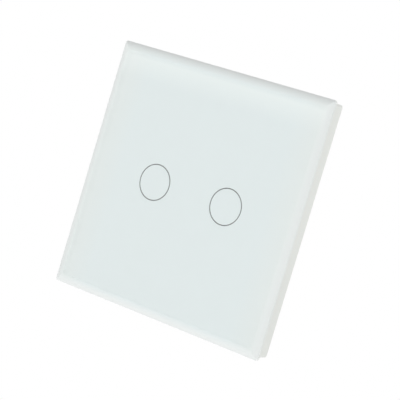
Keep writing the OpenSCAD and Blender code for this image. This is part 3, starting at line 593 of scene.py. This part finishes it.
glass_rings = [outline_points(ARRIS, back_y - BACK_GAP), outline_points(0.0, back_y - BACK_GAP - ARRIS)]
for i in range(BAND_STEPS + 1):
    inset = EDGE_W * (i / BAND_STEPS) ** BAND_POWER
    glass_rings.append(outline_points(inset, front_y + band_drop(inset)))
glass = loft("glass_front", glass_rings)
glass.data.materials.append(mat_glass)
glass.data.materials.append(mat_edge_and_painted_light)
glass.data.materials.append(mat_side)
for poly in glass.data.polygons:
    poly.use_smooth = len(poly.vertices) == 4
    if poly.use_smooth:
        poly.material_index = 2 if poly.center.y > front_y + EDGE_DROP else 1
glass.data.set_sharp_from_angle(angle=math.radians(SHARP_DEGREES))
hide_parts("glass_panel")
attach(glass, "front_panel")

# Touch springs: round wire, a leg through the board, the curls and a straight end
WIRE_R = 0.25 * MM
SPRING_TURNS = 6
LEG_L = 1.7 * MM
END_L = 0.5 * MM
BEND = 0.45 * MM
TURN_STEPS = 28
WIRE_SIDES = 12
BEND_STEPS = 6
CAP_STEPS = 4


def bend_points(start, corner, stop):
    points = []
    for i in range(BEND_STEPS + 1):
        t = i / BEND_STEPS
        points.append(start * (1 - t) ** 2 + corner * 2 * t * (1 - t) + stop * t ** 2)
    return points


def spring_route(low, high):
    cx = (low.x + high.x) / 2
    cz = (low.z + high.z) / 2
    r = (high.x - low.x) / 2 - WIRE_R
    y0 = high.y - LEG_L
    y1 = low.y + END_L

    def curl(turns):
        a = 2 * math.pi * turns
        y = y0 + (y1 - y0) * turns / SPRING_TURNS
        return Vector((cx + r * math.cos(a), y, cz + r * math.sin(a)))

    lead = BEND / (2 * math.pi * r)
    out = Vector((0.0, BEND, 0.0))
    route = [Vector((cx + r, high.y, cz))]
    route += bend_points(curl(0) + out, curl(0), curl(lead))
    steps = SPRING_TURNS * TURN_STEPS
    route += [curl(i / TURN_STEPS) for i in range(1, steps)]
    route += bend_points(curl(SPRING_TURNS - lead), curl(SPRING_TURNS), curl(SPRING_TURNS) - out)
    route.append(curl(SPRING_TURNS) - Vector((0.0, END_L, 0.0)))
    return route


def wire(name, route):
    along = [(b - a).normalized() for a, b in zip(route, route[1:])]
    along.append(along[-1])
    side = along[0].orthogonal().normalized()
    stations = []
    for i, point in enumerate(route):
        if i:
            side = along[i - 1].rotation_difference(along[i]) @ side
        stations.append((point, along[i], side.copy()))
    caps = [math.pi / 2 * (i + 1) / (CAP_STEPS + 1) for i in range(CAP_STEPS)]
    rings = []

    def ring(place, direction, across, radius):
        up = direction.cross(across)
        turn = [2 * math.pi * k / WIRE_SIDES for k in range(WIRE_SIDES)]
        rings.append([place + (across * math.cos(a) + up * math.sin(a)) * radius for a in turn])

    point, direction, across = stations[0]
    for a in reversed(caps):
        ring(point + direction * WIRE_R * (1 - math.sin(a)), direction, across, WIRE_R * math.cos(a))
    ring(point + direction * WIRE_R, direction, across, WIRE_R)
    for place, direction, across in stations[1:-1]:
        ring(place, direction, across, WIRE_R)
    point, direction, across = stations[-1]
    ring(point - direction * WIRE_R, direction, across, WIRE_R)
    for a in caps:
        ring(point - direction * WIRE_R * (1 - math.sin(a)), direction, across, WIRE_R * math.cos(a))
    return loft(name, rings)


for hand in ("left", "right"):
    spring_node = hand + "_touch_spring"
    coil = wire(hand + "_spring_coil", spring_route(*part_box(spring_node)))
    coil.data.materials.append(mat_gilt)
    for poly in coil.data.polygons:
        poly.use_smooth = True
    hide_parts(spring_node)
    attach(coil, "wall_part")

# Floor: white to the camera and to reflections, and near the object it keeps the soft shadow
FLOOR_Z = -0.40
FLOOR_FRONT = -0.29
FLOOR_FAR = 4.5
SHADOW_NEAR = 0.12
SHADOW_END = 0.33
SHADOW_WHITE = 0.6
floor_mesh = bpy.data.meshes.new("floor")
floor_corners = [(-FLOOR_FAR, FLOOR_FRONT, 0), (FLOOR_FAR, FLOOR_FRONT, 0), (FLOOR_FAR, FLOOR_FAR, 0),
                 (-FLOOR_FAR, FLOOR_FAR, 0)]
floor_mesh.from_pydata(floor_corners, [], [(0, 1, 2, 3)])
floor = bpy.data.objects.new("floor", floor_mesh)
floor.location = (0.0, 0.0, FLOOR_Z)
scene.collection.objects.link(floor)
mat_floor, tree, bsdf = new_material("floor_white")
bsdf.inputs["Base Color"].default_value = (0.9, 0.9, 0.9, 1.0)
bsdf.inputs["Roughness"].default_value = 0.9
floor_away = add_node(tree, "ShaderNodeVectorMath", operation="LENGTH")
link(tree, object_place(tree), floor_away.inputs[0])
floor_fade = span(tree, floor_away.outputs["Value"],
                  low=SHADOW_WHITE, high=1.0, start=SHADOW_NEAR, stop=SHADOW_END)
floor_white = add_node(tree, "ShaderNodeEmission")
floor_mix = add_node(tree, "ShaderNodeMixShader")
link(tree, math_node(tree, "MULTIPLY", seeing_ray(tree), floor_fade), floor_mix.inputs[0])
link(tree, bsdf.outputs[0], floor_mix.inputs[1])
link(tree, floor_white.outputs[0], floor_mix.inputs[2])
link(tree, floor_mix.outputs[0], tree.nodes["Material Output"].inputs["Surface"])
floor_mesh.materials.append(mat_floor)

# World: white to the camera, and as light a white backdrop behind with a dimmer room in front and overhead
BACKDROP_SIDE = (0.0, 0.85, -0.4)
ROOM_LEVEL = 0.45
BACKDROP_LEVEL = 1.0
ROOM_EDGE = -0.45
BACKDROP_EDGE = 0.3
world = bpy.data.worlds.new("studio")
scene.world = world
world.use_nodes = True
tree = world.node_tree
room = tree.nodes["Background"]
coords = add_node(tree, "ShaderNodeTexCoord")
facing = add_node(tree, "ShaderNodeVectorMath", operation="DOT_PRODUCT")
facing.inputs[1].default_value = BACKDROP_SIDE
link(tree, coords.outputs["Generated"], facing.inputs[0])
room_level = span(tree, facing.outputs["Value"],
                  low=ROOM_LEVEL, high=BACKDROP_LEVEL, start=ROOM_EDGE, stop=BACKDROP_EDGE)
link(tree, room_level, room.inputs["Strength"])
room.inputs["Color"].default_value = (1.0, 1.0, 1.0, 1.0)
white = add_node(tree, "ShaderNodeBackground")
white.inputs["Color"].default_value = (1.0, 1.0, 1.0, 1.0)
world_mix = add_node(tree, "ShaderNodeMixShader")
link(tree, seeing_ray(tree), world_mix.inputs[0])
link(tree, room.outputs[0], world_mix.inputs[1])
link(tree, white.outputs[0], world_mix.inputs[2])
link(tree, world_mix.outputs[0], tree.nodes["World Output"].inputs["Surface"])


# Soft lamps, placed by degrees from the front to the right and by height
# They light the object without showing on the glass as white discs
def soft_lamp(name, azimuth, elevation, strength, spread):
    az = math.radians(azimuth)
    el = math.radians(elevation)
    place = Vector((math.cos(el) * math.sin(az), -math.cos(el) * math.cos(az), math.sin(el)))
    data = bpy.data.lights.new(name, "SUN")
    data.energy = strength
    data.angle = math.radians(spread)
    lamp = bpy.data.objects.new(name, data)
    lamp.location = place
    lamp.rotation_euler = (-place).to_track_quat("-Z", "Y").to_euler()
    lamp.visible_glossy = False
    lamp.visible_transmission = False
    scene.collection.objects.link(lamp)


soft_lamp("key", azimuth=5.0, elevation=-26.0, strength=1.86, spread=55.0)
soft_lamp("right_side", azimuth=100.0, elevation=0.0, strength=0.66, spread=55.0)
soft_lamp("left_side", azimuth=-100.0, elevation=0.0, strength=0.6, spread=55.0)
